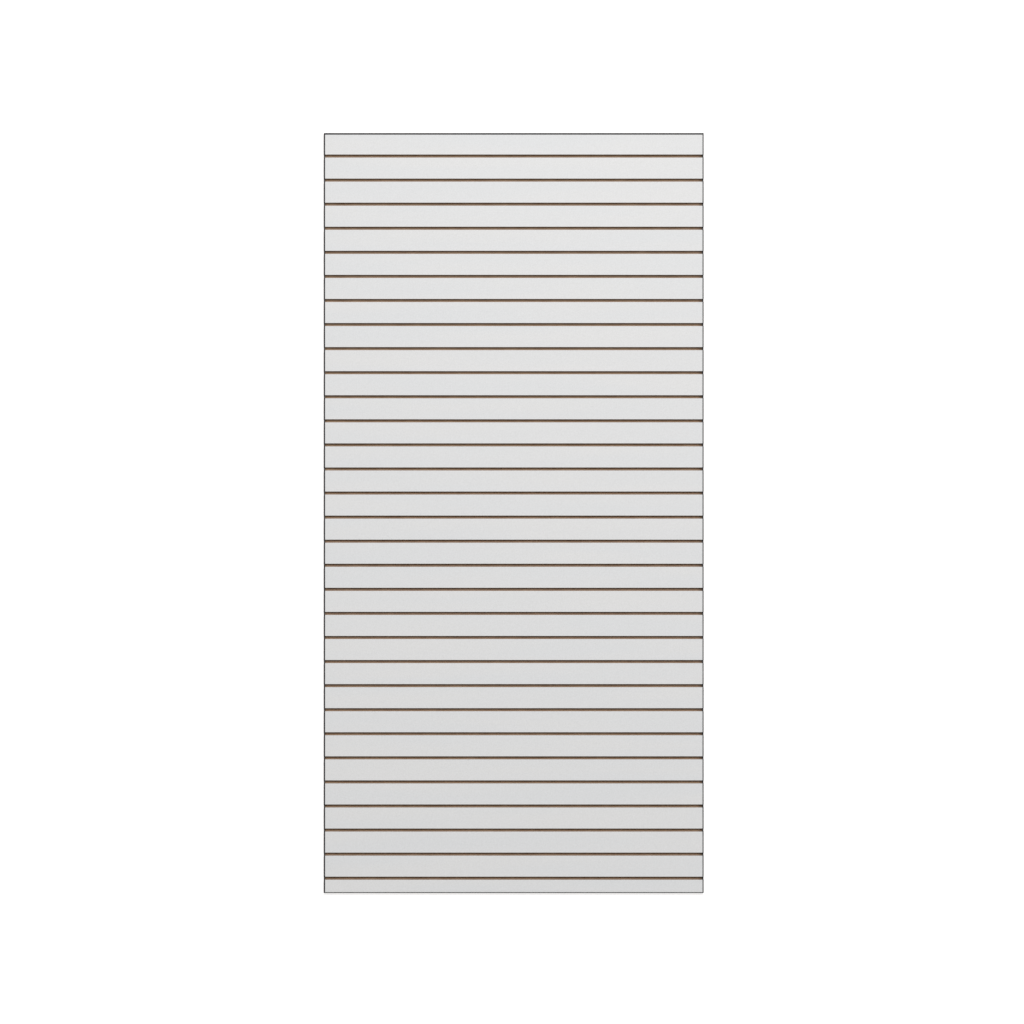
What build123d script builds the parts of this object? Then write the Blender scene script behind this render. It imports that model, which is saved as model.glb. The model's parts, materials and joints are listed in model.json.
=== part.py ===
from build123d import *
import os

# Grooved wall panel: one sheet of faced fibreboard with T-shaped grooves routed right across its face.
# The origin is the centre of the back face. +X runs along the grooves, +Y points to the top edge of the
# hung panel and +Z points out of the grooved face. All sizes are in millimetres.

# Sheet
PANEL_WIDTH = 1200.0
PANEL_LENGTH = 2400.0
PANEL_THICKNESS = 18.0
FACE_ARRIS = 3.0  # 45 degree bevel round the face

# Groove pattern, counted down from the top edge
GROOVE_PITCH = 76.0
TOP_EDGE_TO_GROOVE = 73.0  # to the centre line of the first groove
LEAST_BOTTOM_EDGE = 30.0  # from the last centre line to the bottom edge, at least

# Section of one groove: a narrow mouth that opens into a wider channel behind two lips
MOUTH_WIDTH = 9.0
LIP_THICKNESS = 5.0
LIP_BEVEL = 0.5  # breaks the sharp edge of each lip
CHANNEL_WIDTH = 27.0
CHANNEL_DEPTH = 6.0
CHANNEL_RADIUS = 1.0  # left in the channel's corners by the cutter


def panel_blank():
    """The sheet before routing, with the edges of its face bevelled."""
    sheet = Box(
        PANEL_WIDTH,
        PANEL_LENGTH,
        PANEL_THICKNESS,
        align=(Align.CENTER, Align.CENTER, Align.MIN),
    )
    face = sheet.faces().sort_by(Axis.Z)[-1]
    return chamfer(face.edges(), FACE_ARRIS)


def groove_section():
    """T-shaped section that the cutter sweeps, with the panel's face on the line y = 0."""
    channel_middle = LIP_THICKNESS + CHANNEL_DEPTH / 2
    channel = Pos(0, -channel_middle) * RectangleRounded(
        CHANNEL_WIDTH, CHANNEL_DEPTH, CHANNEL_RADIUS
    )
    mouth = Rectangle(MOUTH_WIDTH, 2 * channel_middle)
    lip_bevels = Trapezoid(
        MOUTH_WIDTH + 4 * LIP_BEVEL, 2 * LIP_BEVEL, 45, rotation=180
    )
    return channel + mouth + lip_bevels


def groove_centres():
    """Centre lines of the grooves along Y, from the top edge down."""
    first = PANEL_LENGTH / 2 - TOP_EDGE_TO_GROOVE
    last_allowed = -PANEL_LENGTH / 2 + LEAST_BOTTOM_EDGE
    count = 1 + int((first - last_allowed) // GROOVE_PITCH)
    return [first - GROOVE_PITCH * index for index in range(count)]


def grooved_panel():
    """The finished panel: every groove runs out through both side edges."""
    cutter = extrude(Plane.YZ * groove_section(), amount=PANEL_WIDTH, both=True)
    cuts = [Pos(0, centre, PANEL_THICKNESS) * cutter for centre in groove_centres()]
    return panel_blank() - cuts


os.makedirs("parts", exist_ok=True)
export_step(grooved_panel(), "parts/grooved_panel.step")
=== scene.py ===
import json

import bmesh
import bpy
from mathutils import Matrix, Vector


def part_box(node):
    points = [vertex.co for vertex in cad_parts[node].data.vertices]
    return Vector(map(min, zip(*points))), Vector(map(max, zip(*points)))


# A grooved wall panel that lies face up on the floor. Its surfaces get their finishes here: white facing,
# routed grooves, dark sealed arris, sawn edges and sanded back. All lengths are in metres.
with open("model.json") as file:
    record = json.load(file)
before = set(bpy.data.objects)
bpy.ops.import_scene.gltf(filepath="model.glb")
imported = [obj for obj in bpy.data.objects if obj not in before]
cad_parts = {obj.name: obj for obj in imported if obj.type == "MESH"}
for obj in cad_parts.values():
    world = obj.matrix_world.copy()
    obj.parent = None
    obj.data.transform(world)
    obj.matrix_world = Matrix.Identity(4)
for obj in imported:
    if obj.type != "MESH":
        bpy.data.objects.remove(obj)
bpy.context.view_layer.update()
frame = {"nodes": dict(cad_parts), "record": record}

# The panel as the frame has it, with grooves along X and the top edge towards +Y
panel = frame["nodes"]["grooved_panel"]
mount_places = {mount["name"]: mount["pos_m"] for mount in frame["record"]["mounts"]}
face_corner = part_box("grooved_panel")[1]
HALF_WIDTH = face_corner.x
HALF_LENGTH = face_corner.y
THICKNESS = face_corner.z
EDGE_HEIGHT = 2.0 * mount_places["top_edge"][2]  # the mount is at the middle of the sawn edge
FACE_ARRIS = THICKNESS - EDGE_HEIGHT
FACE_HALF_WIDTH = HALF_WIDTH - FACE_ARRIS
FACE_HALF_LENGTH = HALF_LENGTH - FACE_ARRIS
FIRST_GROOVE = mount_places["groove_01"][1]
GROOVE_PITCH = (FIRST_GROOVE - mount_places["groove_04"][1]) / 3.0  # groove 4 is three pitches on
MOUTH_WIDTH = 0.009
CHANNEL_WIDTH = 0.027
CHANNEL_FLOOR = 0.007  # height of the channel's floor above the back
CHANNEL_DEPTH = 0.006
FACING_THICKNESS = 0.0002
HAIR = 0.00001  # closer than this, a point lies on a face
SLOPED = 0.5  # tells a 45 degree bevel, with 0.7 of its normal along an axis, from a wall, with none

# The photograph's frame, in pixels, and the lens that gives its flat view
FRAME_SIDE = 1024
PANEL_LENGTH_IN_FRAME = 760.0
PANEL_CENTRE_IN_FRAME = (513.7, 513.0)
SENSOR = 36.0
LENS = 150.0

# Linear colours of the finishes
FACING_COOL = (0.785, 0.79, 0.795, 1.0)
FACING_WARM = (0.805, 0.80, 0.795, 1.0)
SPECKLE_DARK = (0.87, 0.87, 0.87, 1.0)
SPECKLE_LIGHT = (1.13, 1.13, 1.13, 1.0)
CORE_PALE = (0.46, 0.315, 0.21, 1.0)
CORE_DARK = (0.33, 0.205, 0.128, 1.0)
SKIN_PALE = (0.34, 0.22, 0.138, 1.0)
SKIN_DARK = (0.24, 0.148, 0.09, 1.0)
FLECK = (0.10, 0.055, 0.03, 1.0)
# The seal's two dark colours, which also serve as painted shade towards the groove ends
SEAL_AND_SHADE_DARK = (0.008, 0.008, 0.009, 1.0)
SEAL_AND_SHADE_PALE = (0.022, 0.022, 0.022, 1.0)

# Size of one feature of each pattern, and the depth of each relief
FACING_CLOUD = 0.5
SPECKLE_SIZE = 0.0038
PEBBLE_SIZE = 0.0009
PEBBLE_DEPTH = 0.00004
DENSITY_CLOUD = 0.033
FIBRE_SIZE = 0.0011
FLECK_SPACING = 0.0024
FLECK_PATCH = 0.006
MARK_PATCH = 0.055
CUTTER_MARK = 0.0015
CUTTER_DEPTH = 0.0001
SAW_MARK = 0.0026
SAW_DEPTH = 0.00015
BRUSH_MARK = 0.0026
SEAL_WANDER = 0.0042
SANDING_STREAK = 0.17
SANDED_DEPTH = 0.00005
UNIT_WAVE = 0.314  # length of one wave of the wave pattern at a scale of 1

# How far each pattern is squeezed along X, Y and Z. A factor below 1 draws it out.
FACING_SQUEEZE = (0.6, 7.0, 1.0)
ROUTED_SQUEEZE = (0.7, 1.0, 1.0)
EDGE_SQUEEZE = (0.45, 0.45, 1.6)
SAW_SQUEEZE = (1.0, 1.0, 0.2)
SANDING_SQUEEZE = (60.0, 1.5, 1.0)

# Ranges and shares that turn the patterns into masks
NOISE_MEAN = 0.5
NOISE_SPREAD = (0.3, 0.7)  # nearly all values of a soft noise
NOISE_CORE = (0.35, 0.65)  # most of them
CLOUD_SHARE = 0.45
FIBRE_SHARE = 0.75
FIBRE_TONES = (0.42, 0.78)  # from a dark fibre to a pale one
FLECK_RIM = (0.10, 0.26)  # where a fleck fades out, in shares of the spacing
FLECK_CHOICE = (0.52, 0.62)  # flecks show where the patches are above this
FLECK_STRENGTH = 0.6
FLECK_RELIEF = -0.5  # a fleck is a small pit
FAINTEST_MARK = 0.3
CORE_TO_SKIN = (0.22, 0.5)  # from the middle of the board, in shares of its thickness
SCORCH = 0.25
SAW_SHADE = 0.2
SAW_RELIEF = 0.6
STREAK_TONES = (0.45, 0.7)
STREAK_SHADE = 0.35
ARRIS_RELIEF = (0.2, 0.8)

# Roughness of the finishes, where a pair is from low to high places of the pattern, and the seal's gloss
FACING_ROUGHNESS = (0.42, 0.52)
ROUTED_ROUGHNESS = 0.85
SAWN_ROUGHNESS = 0.9
SEAL_ROUGHNESS = 0.55
ARRIS_ROUGHNESS = (0.45, 0.62)
BACK_ROUGHNESS = (0.6, 0.75)
SEAL_GLOSS = 0.2

# How far the dark seal of the arris runs onto the surfaces beside it, and how ragged its rim is there
SEAL_ON_FACE_LEFT = 0.0017
SEAL_ON_FACE_RIGHT = 0.0009
SEAL_ON_FACE_TOP = 0.0028
RAGGED_ON_FACE = 0.0004
SEAL_ON_EDGE = 0.0008
RAGGED_ON_EDGE = 0.001
SEAL_IN_GROOVE = 0.0045
RAGGED_IN_GROOVE = 0.0012
SEAL_FADE = 0.0001

# How far painted shade in the seal's dark colour reaches along the bare groove from its two ends, to half
# strength
END_SHADE_LEFT = 0.001
END_SHADE_RIGHT = 0.008
END_SHADE_RAGGED = 0.006
END_SHADE_FADE = 0.014

# The flat map for baked colours: the side of the square in metres of board and in pixels, and where each
# zone lies on it. A groove's row is a whole number of pixels high, so that all grooves are baked alike.
MAP_SIDE = 2.5
BAKED_SIDE = 1024
MAP_PIXEL = MAP_SIDE / BAKED_SIDE
MAP_GAP = 8 * MAP_PIXEL
GROOVE_BLOCK = 1.25
GROOVE_SHRINK = 0.5
GROOVE_ROW = 32 * MAP_PIXEL
BACK_BLOCK = 1.88
BACK_SHRINK = 0.48
EDGE_BLOCK = (1.90, 1.22)
EDGE_STRIP = 0.14
EDGE_SHRINK = 0.5
EDGE_WIDEN = 5.0

# Studio
FLOOR_HALF = 60.0
FLOOR_DROP = 0.0001  # keeps the floor just clear of the back
FLOOR_TONE = (0.8, 0.8, 0.8, 1.0)
FLOOR_LIFT_NEAR = 0.64
FLOOR_LIFT_FAR = 0.82
FLOOR_NEAR = 2.5
FLOOR_FAR = 7.0
SKY_FILL = 0.285
KEY_PLACE = (3.2, 9.5, 19.8)
KEY_SIZE = (7.2, 5.6)
KEY_POWER = 2910.0
TOP_LAMP_PLACE = (0.15, 1.4, 4.0)
TOP_LAMP_SIZE = (2.4, 1.2)
TOP_LAMP_POWER = 12.0
WHITE = (1.0, 1.0, 1.0, 1.0)


def fill(tree, socket, value):
    """Links an output to a socket, or writes a plain value there."""
    if isinstance(value, bpy.types.NodeSocket):
        tree.links.new(value, socket)
    else:
        socket.default_value = value


def add_node(tree, kind, inputs, **settings):
    """Adds a node with its settings, and fills the inputs that are named."""
    node = tree.nodes.new(kind)
    for name, value in settings.items():
        setattr(node, name, value)
    for name, value in inputs.items():
        fill(tree, node.inputs[name], value)
    return node


def noise(tree, place, size, detail=2.0, roughness=0.5):
    """Soft random values about 0.5, with features of a given size."""
    inputs = {"Vector": place, "Scale": 1.0 / size, "Detail": detail, "Roughness": roughness}
    return add_node(tree, "ShaderNodeTexNoise", inputs).outputs["Fac"]


def squeezed(tree, place, factors):
    """The same place with each axis scaled, which squeezes a pattern by those factors."""
    return add_node(tree, "ShaderNodeMapping", {"Vector": place, "Scale": factors}).outputs["Vector"]


def between(tree, value, low, high, to_low=0.0, to_high=1.0):
    """A value remapped smoothly from one range to another."""
    inputs = {"Value": value, "From Min": low, "From Max": high, "To Min": to_low, "To Max": to_high}
    return add_node(tree, "ShaderNodeMapRange", inputs, interpolation_type="SMOOTHSTEP").outputs["Result"]


def maths(tree, operation, first, second=0.0, third=0.0):
    """One step of arithmetic on values."""
    node = tree.nodes.new("ShaderNodeMath")
    node.operation = operation
    for socket, value in zip(node.inputs, (first, second, third)):
        fill(tree, socket, value)
    return node.outputs["Value"]


def mixed(tree, share, first, second, blend="MIX"):
    """Two colours mixed by a share."""
    node = tree.nodes.new("ShaderNodeMix")
    node.data_type = "RGBA"
    node.blend_type = blend
    fill(tree, node.inputs[0], share)
    fill(tree, node.inputs[6], first)
    fill(tree, node.inputs[7], second)
    return node.outputs[2]


def bump(tree, height, depth):
    """Relief of a given depth."""
    return add_node(tree, "ShaderNodeBump", {"Height": height, "Distance": depth}).outputs["Normal"]


def new_group(name, inputs, outputs):
    """An empty shader node group with named sockets, and its two end nodes."""
    group = bpy.data.node_groups.new(name, "ShaderNodeTree")
    for socket, kind in inputs.items():
        group.interface.new_socket(socket, in_out="INPUT", socket_type=kind)
    for socket, kind in outputs.items():
        group.interface.new_socket(socket, in_out="OUTPUT", socket_type=kind)
    return group, group.nodes.new("NodeGroupInput"), group.nodes.new("NodeGroupOutput")


def fibreboard_group():
    """Pressed wood fibre: pale and dark fibres, soft clouds of density and a few dark flecks."""
    group, given, made = new_group(
        "fibreboard",
        {
            "Place": "NodeSocketVector",
            "Pale fibre": "NodeSocketColor",
            "Dark fibre": "NodeSocketColor",
            "Fleck": "NodeSocketColor",
        },
        {"Colour": "NodeSocketColor", "Height": "NodeSocketFloat"},
    )
    place = given.outputs["Place"]
    clouds = noise(group, place, DENSITY_CLOUD, detail=3.0)
    fibres = noise(group, place, FIBRE_SIZE, detail=6.0, roughness=0.72)
    fibre_tone = maths(group, "MULTIPLY", fibres, FIBRE_SHARE)
    tone = maths(group, "MULTIPLY_ADD", clouds, CLOUD_SHARE, fibre_tone)
    pale_share = between(group, tone, *FIBRE_TONES)
    body = mixed(group, pale_share, given.outputs["Dark fibre"], given.outputs["Pale fibre"])
    cells = add_node(group, "ShaderNodeTexVoronoi", {"Vector": place, "Scale": 1.0 / FLECK_SPACING})
    near = between(group, cells.outputs["Distance"], *FLECK_RIM, 1.0, 0.0)
    chosen = between(group, noise(group, place, FLECK_PATCH), *FLECK_CHOICE, 0.0, FLECK_STRENGTH)
    flecks = maths(group, "MULTIPLY", near, chosen)
    fill(group, made.inputs["Colour"], mixed(group, flecks, body, given.outputs["Fleck"]))
    fill(group, made.inputs["Height"], maths(group, "MULTIPLY_ADD", flecks, FLECK_RELIEF, fibres))
    return group


def tool_marks_group():
    """Fine ridges that a turning cutter leaves across its path, uneven in strength along the cut."""
    group, given, made = new_group(
        "tool_marks",
        {"Place": "NodeSocketVector", "Spacing": "NodeSocketFloat"},
        {"Ridge": "NodeSocketFloat"},
    )
    place = given.outputs["Place"]
    scale = maths(group, "DIVIDE", UNIT_WAVE, given.outputs["Spacing"])
    inputs = {"Vector": place, "Scale": scale, "Distortion": 1.5, "Detail": 2.0}
    waves = add_node(group, "ShaderNodeTexWave", inputs)
    strength = between(group, noise(group, place, MARK_PATCH), *NOISE_CORE, FAINTEST_MARK, 1.0)
    fill(group, made.inputs["Ridge"], maths(group, "MULTIPLY", waves.outputs["Fac"], strength))
    return group


def dark_seal_and_shade_group():
    """Dark sealer brushed round the rim of the face; its colour is also laid as painted shade towards the
    groove ends. It covers the board where Inside is above zero. Its own rim wanders by up to half of Ragged
    each way, and fades out over Fade on each side."""
    group, given, made = new_group(
        "dark_seal_and_shade",
        {
            "Place": "NodeSocketVector",
            "Board": "NodeSocketColor",
            "Inside": "NodeSocketFloat",
            "Ragged": "NodeSocketFloat",
            "Fade": "NodeSocketFloat",
        },
        {"Colour": "NodeSocketColor", "Cover": "NodeSocketFloat"},
    )
    place = given.outputs["Place"]
    wander = maths(group, "SUBTRACT", noise(group, place, SEAL_WANDER, detail=3.0), NOISE_MEAN)
    inside = maths(group, "MULTIPLY_ADD", wander, given.outputs["Ragged"], given.outputs["Inside"])
    faded_out = maths(group, "MULTIPLY", given.outputs["Fade"], -1.0)
    cover = between(group, inside, faded_out, given.outputs["Fade"])
    brushed = between(group, noise(group, place, BRUSH_MARK, detail=3.0), *NOISE_CORE)
    seal = mixed(group, brushed, SEAL_AND_SHADE_DARK, SEAL_AND_SHADE_PALE)
    fill(group, made.inputs["Colour"], mixed(group, cover, given.outputs["Board"], seal))
    fill(group, made.inputs["Cover"], cover)
    return group


FIBREBOARD = fibreboard_group()
TOOL_MARKS = tool_marks_group()
DARK_SEAL_AND_SHADE = dark_seal_and_shade_group()


def new_finish(name):
    """A material with its shader, and the Object coordinates that its pattern follows."""
    material = bpy.data.materials.new(name)
    material.use_nodes = True
    tree = material.node_tree
    place = tree.nodes.new("ShaderNodeTexCoord").outputs["Object"]
    return material, tree, tree.nodes["Principled BSDF"], place


def placed(tree, group, inputs):
    """A shared node group set into a material with its own values."""
    return add_node(tree, "ShaderNodeGroup", inputs, node_tree=group)


def along_axis(tree, place, axis):
    """One coordinate of a place on the board."""
    return add_node(tree, "ShaderNodeSeparateXYZ", {"Vector": place}).outputs[axis]


def past_sides(tree, place, left_line, right_line):
    """How far a place lies past two lines near the left and right sides. Between them it is negative."""
    x = along_axis(tree, place, "X")
    past_left = maths(tree, "SUBTRACT", left_line, x)
    past_right = maths(tree, "SUBTRACT", x, right_line)
    return maths(tree, "MAXIMUM", past_left, past_right)


def sealed_and_end_shaded(tree, place, board, inside, ragged, fade=SEAL_FADE):
    """The dark seal laid over a board; at the groove ends the same colour is laid as painted shade."""
    inputs = {"Place": place, "Board": board, "Inside": inside, "Ragged": ragged, "Fade": fade}
    return placed(tree, DARK_SEAL_AND_SHADE, inputs)


def layered_board(tree, place, pattern_place):
    """Fibreboard that is dark and dense near its two faces, and paler and looser in the core."""
    share = maths(tree, "DIVIDE", along_axis(tree, place, "Z"), THICKNESS)
    from_middle = maths(tree, "ABSOLUTE", maths(tree, "SUBTRACT", share, 0.5))
    density = between(tree, from_middle, *CORE_TO_SKIN)
    pale = mixed(tree, density, CORE_PALE, SKIN_PALE)
    dark = mixed(tree, density, CORE_DARK, SKIN_DARK)
    inputs = {"Place": pattern_place, "Pale fibre": pale, "Dark fibre": dark, "Fleck": FLECK}
    return placed(tree, FIBREBOARD, inputs)


def white_facing():
    """Satin white facing: a fine pebble, a faint speckle, and tone clouds drawn out across the board. The
    dark seal laps onto it along three edges."""
    material, tree, shader, place = new_finish("white_facing")
    clouds = noise(tree, squeezed(tree, place, FACING_SQUEEZE), FACING_CLOUD)
    speckle = noise(tree, place, SPECKLE_SIZE, detail=4.0, roughness=0.7)
    pebble = noise(tree, place, PEBBLE_SIZE)
    tone = mixed(tree, between(tree, clouds, *NOISE_SPREAD), FACING_COOL, FACING_WARM)
    mottle = mixed(tree, speckle, SPECKLE_DARK, SPECKLE_LIGHT)
    facing = mixed(tree, 1.0, tone, mottle, "MULTIPLY")
    left_line = SEAL_ON_FACE_LEFT - FACE_HALF_WIDTH
    right_line = FACE_HALF_WIDTH - SEAL_ON_FACE_RIGHT
    sides = past_sides(tree, place, left_line, right_line)
    top = maths(tree, "SUBTRACT", along_axis(tree, place, "Y"), FACE_HALF_LENGTH - SEAL_ON_FACE_TOP)
    seal = sealed_and_end_shaded(tree, place, facing, maths(tree, "MAXIMUM", sides, top), RAGGED_ON_FACE)
    fill(tree, shader.inputs["Base Color"], seal.outputs["Colour"])
    roughness = between(tree, pebble, *NOISE_SPREAD, *FACING_ROUGHNESS)
    fill(tree, shader.inputs["Roughness"], roughness)
    fill(tree, shader.inputs["Normal"], bump(tree, pebble, PEBBLE_DEPTH))
    return material


def routed_board():
    """The groove's walls and floor: bare fibreboard with cutter marks. The facing's cut edge shows at the
    mouth, and the dark seal runs into the groove's two ends. Further in, painted shade in the seal's colour
    darkens the groove towards its ends, more at the right end."""
    material, tree, shader, place = new_finish("routed_board")
    board = layered_board(tree, place, squeezed(tree, place, ROUTED_SQUEEZE))
    marks = placed(tree, TOOL_MARKS, {"Place": place, "Spacing": CUTTER_MARK}).outputs["Ridge"]
    scorch = maths(tree, "MULTIPLY", marks, SCORCH)
    scorched = mixed(tree, scorch, board.outputs["Colour"], SKIN_DARK)
    facing_bottom = THICKNESS - FACING_THICKNESS
    cut_edge = maths(tree, "GREATER_THAN", along_axis(tree, place, "Z"), facing_bottom)
    faced = mixed(tree, cut_edge, scorched, FACING_WARM)
    # Painted shade: the seal's dark colour laid along the bare groove from both ends, darkening it towards
    # its ends, more at the right end
    end_shade_inside = past_sides(tree, place, END_SHADE_LEFT - HALF_WIDTH, HALF_WIDTH - END_SHADE_RIGHT)
    end_shaded = sealed_and_end_shaded(tree, place, faced, end_shade_inside, END_SHADE_RAGGED, END_SHADE_FADE).outputs["Colour"]
    seal_line = HALF_WIDTH - SEAL_IN_GROOVE
    seal_inside = past_sides(tree, place, -seal_line, seal_line)
    seal = sealed_and_end_shaded(tree, place, end_shaded, seal_inside, RAGGED_IN_GROOVE)
    fill(tree, shader.inputs["Base Color"], seal.outputs["Colour"])
    roughness = between(tree, seal.outputs["Cover"], 0.0, 1.0, ROUTED_ROUGHNESS, SEAL_ROUGHNESS)
    fill(tree, shader.inputs["Roughness"], roughness)
    relief = maths(tree, "ADD", board.outputs["Height"], marks)
    fill(tree, shader.inputs["Normal"], bump(tree, relief, CUTTER_DEPTH))
    return material


def sawn_edge():
    """The four sawn edges: layered fibreboard with fibres lying along the board, and faint saw marks. The
    seal of the arris laps a little way down."""
    material, tree, shader, place = new_finish("sawn_edge")
    board = layered_board(tree, place, squeezed(tree, place, EDGE_SQUEEZE))
    along = squeezed(tree, place, SAW_SQUEEZE)
    marks = placed(tree, TOOL_MARKS, {"Place": along, "Spacing": SAW_MARK}).outputs["Ridge"]
    shade = maths(tree, "MULTIPLY", marks, SAW_SHADE)
    sawn = mixed(tree, shade, board.outputs["Colour"], SKIN_DARK)
    inside = maths(tree, "SUBTRACT", along_axis(tree, place, "Z"), EDGE_HEIGHT - SEAL_ON_EDGE)
    seal = sealed_and_end_shaded(tree, place, sawn, inside, RAGGED_ON_EDGE)
    fill(tree, shader.inputs["Base Color"], seal.outputs["Colour"])
    roughness = between(tree, seal.outputs["Cover"], 0.0, 1.0, SAWN_ROUGHNESS, SEAL_ROUGHNESS)
    fill(tree, shader.inputs["Roughness"], roughness)
    relief = maths(tree, "MULTIPLY_ADD", marks, SAW_RELIEF, board.outputs["Height"])
    fill(tree, shader.inputs["Normal"], bump(tree, relief, SAW_DEPTH))
    return material


def sealed_arris():
    """The bevel round the face, sealed dark, with the fibres under the seal showing as a slight relief."""
    material, tree, shader, place = new_finish("sealed_arris")
    inputs = {"Place": place, "Pale fibre": SKIN_PALE, "Dark fibre": SKIN_DARK, "Fleck": FLECK}
    board = placed(tree, FIBREBOARD, inputs)
    seal = sealed_and_end_shaded(tree, place, board.outputs["Colour"], FACE_ARRIS, RAGGED_ON_EDGE)
    fill(tree, shader.inputs["Base Color"], seal.outputs["Colour"])
    fill(tree, shader.inputs["Specular IOR Level"], SEAL_GLOSS)
    roughness = between(tree, board.outputs["Height"], *ARRIS_RELIEF, *ARRIS_ROUGHNESS)
    fill(tree, shader.inputs["Roughness"], roughness)
    fill(tree, shader.inputs["Normal"], bump(tree, board.outputs["Height"], SANDED_DEPTH))
    return material


def sanded_back():
    """The bare back, sanded along the board: smooth dense fibreboard with long faint streaks."""
    material, tree, shader, place = new_finish("sanded_back")
    inputs = {"Place": place, "Pale fibre": CORE_PALE, "Dark fibre": SKIN_PALE, "Fleck": FLECK}
    board = placed(tree, FIBREBOARD, inputs)
    streaks = noise(tree, squeezed(tree, place, SANDING_SQUEEZE), SANDING_STREAK, detail=3.0)
    shade = between(tree, streaks, *STREAK_TONES, 0.0, STREAK_SHADE)
    fill(tree, shader.inputs["Base Color"], mixed(tree, shade, board.outputs["Colour"], SKIN_PALE))
    roughness = between(tree, streaks, *NOISE_SPREAD, *BACK_ROUGHNESS)
    fill(tree, shader.inputs["Roughness"], roughness)
    relief = maths(tree, "ADD", board.outputs["Height"], streaks)
    fill(tree, shader.inputs["Normal"], bump(tree, relief, SANDED_DEPTH))
    return material


def zone_of(polygon):
    """The part of the panel's surface that a polygon belongs to."""
    centre = polygon.center
    from_side = HALF_WIDTH - abs(centre.x)
    from_end = HALF_LENGTH - abs(centre.y)
    inset = min(from_side, from_end)
    outward = polygon.normal.x if from_side < from_end else polygon.normal.y
    if inset < HAIR:
        return "edge"
    if inset < FACE_ARRIS and abs(outward) > SLOPED:
        return "arris"
    if centre.z > THICKNESS - HAIR:
        return "face"
    if centre.z < HAIR:
        return "back"
    return "groove"


def finish_panel():
    """Gives each zone of the panel its finish."""
    finishes = {
        "face": white_facing(),
        "groove": routed_board(),
        "arris": sealed_arris(),
        "edge": sawn_edge(),
        "back": sanded_back(),
    }
    zones = list(finishes)
    panel.data.materials.clear()
    for material in finishes.values():
        panel.data.materials.append(material)
    for polygon in panel.data.polygons:
        polygon.material_index = zones.index(zone_of(polygon))


def unrolled(polygon, point, groove_middle):
    """How far a point of a groove lies from the middle of its floor, measured round the groove's section."""
    aside = point.y - groove_middle
    side = 1.0 if polygon.center.y > groove_middle else -1.0
    height = point.z - CHANNEL_FLOOR
    if polygon.center.z < CHANNEL_FLOOR + CHANNEL_DEPTH / 2:
        return aside + side * height
    if polygon.normal.z < SLOPED:
        return side * (CHANNEL_WIDTH - abs(aside) + height)
    return side * (CHANNEL_WIDTH - MOUTH_WIDTH + abs(aside) + height)


def rim_strip(polygon, point):
    """The side of the rim that a point is on, how far along it lies, and how far up round the arris."""
    normal = polygon.normal
    if abs(normal.x) > abs(normal.y):
        return int(normal.x > 0), point.y + HALF_LENGTH, point.z + HALF_WIDTH - abs(point.x)
    return 2 + int(normal.y > 0), point.x + HALF_WIDTH, point.z + HALF_LENGTH - abs(point.y)


def spot_on_map(zone, polygon, point):
    """Where a point of the panel lies on the flat map, in metres from the map's corner."""
    across = point.x + HALF_WIDTH
    along = point.y + HALF_LENGTH
    if zone == "face":
        return MAP_GAP + across, MAP_GAP + along
    if zone == "back":
        return BACK_BLOCK + BACK_SHRINK * across, MAP_GAP + BACK_SHRINK * along
    if zone == "groove":
        number = round((FIRST_GROOVE - polygon.center.y) / GROOVE_PITCH)
        round_section = unrolled(polygon, point, FIRST_GROOVE - number * GROOVE_PITCH)
        row_middle = MAP_GAP + GROOVE_ROW * (number + 0.5)
        return GROOVE_BLOCK + GROOVE_SHRINK * across, row_middle + round_section
    strip, run, rise = rim_strip(polygon, point)
    return EDGE_BLOCK[0] + EDGE_STRIP * strip + EDGE_WIDEN * rise, EDGE_BLOCK[1] + EDGE_SHRINK * run


def lay_out_map():
    """A flat map of the whole surface, on which the panel's colours can be baked without overlaps."""
    flat_map = panel.data.uv_layers.new(name="OFBake")
    for polygon in panel.data.polygons:
        zone = zone_of(polygon)
        for corner in polygon.loop_indices:
            point = panel.data.vertices[panel.data.loops[corner].vertex_index].co
            spot = spot_on_map(zone, polygon, point)
            flat_map.uv[corner].vector = (spot[0] / MAP_SIDE, spot[1] / MAP_SIDE)


def path_seen(tree):
    """1 for rays from the camera, from a reflection or through glass, and 0 for all other light."""
    path = tree.nodes.new("ShaderNodeLightPath")
    direct = maths(tree, "MAXIMUM", path.outputs["Is Camera Ray"], path.outputs["Is Glossy Ray"])
    return maths(tree, "MAXIMUM", direct, path.outputs["Is Transmission Ray"])


def white_floor():
    """Plain pale floor. To the camera it is lifted to white, and the panel's shadow stays on it."""
    material = bpy.data.materials.new("white_floor")
    material.use_nodes = True
    tree = material.node_tree
    tree.nodes.remove(tree.nodes["Principled BSDF"])
    place = tree.nodes.new("ShaderNodeTexCoord").outputs["Object"]
    distance = add_node(tree, "ShaderNodeVectorMath", {0: place}, operation="LENGTH").outputs["Value"]
    lift = between(tree, distance, FLOOR_NEAR, FLOOR_FAR, FLOOR_LIFT_NEAR, FLOOR_LIFT_FAR)
    strength = maths(tree, "MULTIPLY", path_seen(tree), lift)
    glow = add_node(tree, "ShaderNodeEmission", {"Color": WHITE, "Strength": strength})
    pale = add_node(tree, "ShaderNodeBsdfDiffuse", {"Color": FLOOR_TONE})
    both = add_node(tree, "ShaderNodeAddShader", {0: glow.outputs[0], 1: pale.outputs[0]})
    fill(tree, tree.nodes["Material Output"].inputs["Surface"], both.outputs[0])
    return material


def studio_floor():
    """A wide flat floor just under the panel."""
    shape = bmesh.new()
    bmesh.ops.create_grid(shape, x_segments=1, y_segments=1, size=FLOOR_HALF)
    bmesh.ops.translate(shape, verts=shape.verts, vec=(0.0, 0.0, -FLOOR_DROP))
    mesh = bpy.data.meshes.new("floor")
    shape.to_mesh(mesh)
    shape.free()
    mesh.materials.append(white_floor())
    floor = bpy.data.objects.new("floor", mesh)
    bpy.context.scene.collection.objects.link(floor)


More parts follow.
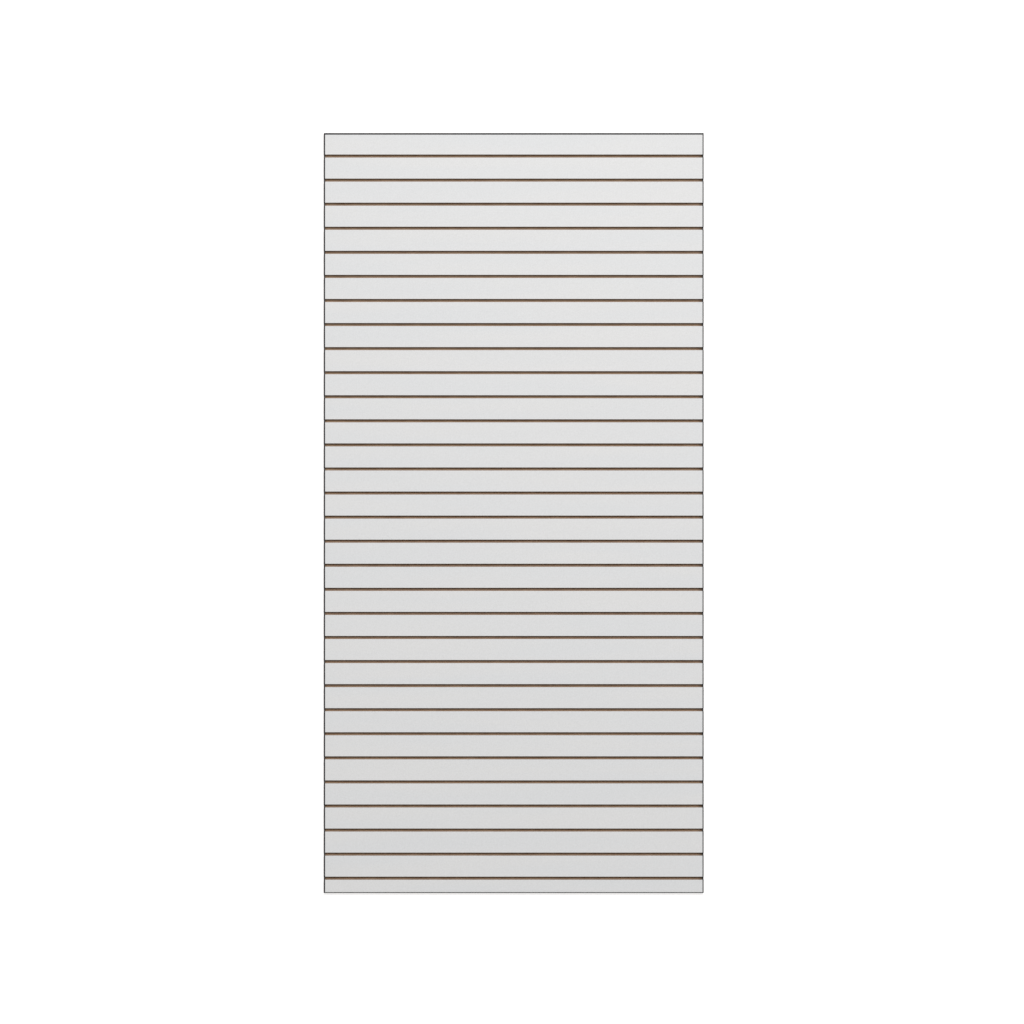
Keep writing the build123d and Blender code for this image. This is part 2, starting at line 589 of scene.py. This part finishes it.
def studio_sky():
    """Even fill light from all round, seen as white."""
    world = bpy.data.worlds.new("studio_sky")
    world.use_nodes = True
    tree = world.node_tree
    strength = between(tree, path_seen(tree), 0.0, 1.0, SKY_FILL, 1.0)
    sky = tree.nodes["Background"]
    sky.inputs["Color"].default_value = WHITE
    fill(tree, sky.inputs["Strength"], strength)
    bpy.context.scene.world = world


def softbox(name, place, size, power, target):
    """A flat soft lamp that faces a target."""
    light = bpy.data.lights.new(name, "AREA")
    light.shape = "RECTANGLE"
    light.size, light.size_y = size
    light.energy = power
    lamp = bpy.data.objects.new(name, light)
    lamp.location = place
    lamp.rotation_euler = (Vector(target) - Vector(place)).to_track_quat("-Z", "Y").to_euler()
    bpy.context.scene.collection.objects.link(lamp)


def studio_lamps():
    """A large lamp far beyond the top edge shades the upper half of each groove. A small one straight
    above the top grooves opens those up a little."""
    softbox("key", KEY_PLACE, KEY_SIZE, KEY_POWER, (0.0, 0.0, 0.0))
    below_top_lamp = (TOP_LAMP_PLACE[0], TOP_LAMP_PLACE[1], 0.0)
    softbox("top_lamp", TOP_LAMP_PLACE, TOP_LAMP_SIZE, TOP_LAMP_POWER, below_top_lamp)


def camera_straight_down():
    """Looks straight down on the panel with its top edge upwards, framed as in the photograph."""
    metres_per_pixel = 2.0 * HALF_LENGTH / PANEL_LENGTH_IN_FRAME
    right = (FRAME_SIDE / 2 - PANEL_CENTRE_IN_FRAME[0]) * metres_per_pixel
    up = (PANEL_CENTRE_IN_FRAME[1] - FRAME_SIDE / 2) * metres_per_pixel
    distance = FRAME_SIDE * metres_per_pixel * LENS / SENSOR
    data = bpy.data.cameras.new("camera")
    data.lens = LENS
    data.sensor_width = SENSOR
    camera = bpy.data.objects.new("camera", data)
    camera.location = (right, up, EDGE_HEIGHT + distance)
    bpy.context.scene.collection.objects.link(camera)
    bpy.context.scene.camera = camera


finish_panel()
lay_out_map()
studio_floor()
studio_sky()
studio_lamps()
camera_straight_down()
bpy.context.scene.view_settings.view_transform = "Standard"
